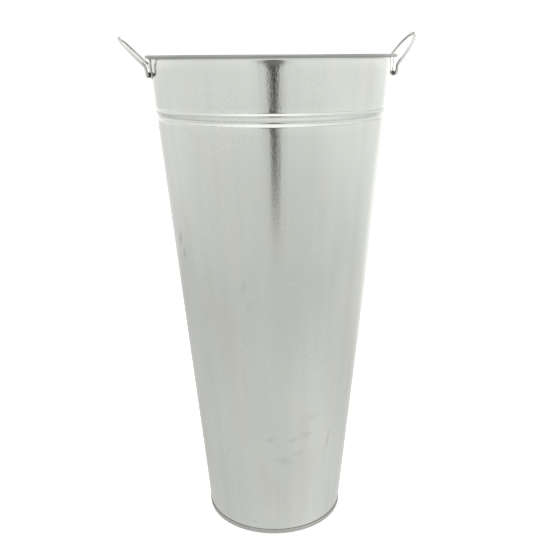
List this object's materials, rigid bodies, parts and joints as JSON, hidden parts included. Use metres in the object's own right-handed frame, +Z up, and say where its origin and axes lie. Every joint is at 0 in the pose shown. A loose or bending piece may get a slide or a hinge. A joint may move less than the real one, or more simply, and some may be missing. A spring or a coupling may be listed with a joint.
{
  "type": "florist bucket",
  "caption": "Tall tapered galvanised sheet-steel bucket with a rolled rim, ring bead and groove near the top, recessed bottom and swinging wire side handles, for holding cut flowers in water.",
  "frame": {"origin": "centre of the foot, on the surface the bucket stands on", "axes": "+Z up along the bucket's axis, X through the two handles, side seam on +Y"},
  "size_m": [0.224, 0.189, 0.397],
  "materials": {
    "galvanised_sheet": "satin zinc coating",
    "zinc_wire": "bright zinc plating",
    "zinc_rivet": "zinc plating",
    "seam_sealant": "matt grey"
  },
  "bodies": {
    "bucket": {"body_wall": "galvanised_sheet", "rim_wire": "zinc_wire", "bottom_pan": "galvanised_sheet", "bottom_sealant": "seam_sealant", "left_ear": "galvanised_sheet", "right_ear": "galvanised_sheet", "left_ear_rivets": "zinc_rivet", "right_ear_rivets": "zinc_rivet"},
    "left_handle": {"left_handle": "zinc_wire"},
    "right_handle": {"right_handle": "zinc_wire"}
  },
  "joints": [
    {"name": "left_handle_swing", "type": "hinge", "parent": "bucket", "child": "left_handle", "pos_m": [-0.09182, 0, 0.367], "axis": [0, -1, 0], "range_deg": [-16, 141.5]},
    {"name": "right_handle_swing", "type": "hinge", "parent": "bucket", "child": "right_handle", "pos_m": [0.09182, 0, 0.367], "axis": [0, 1, 0], "range_deg": [-8, 149.5]}
  ]
}
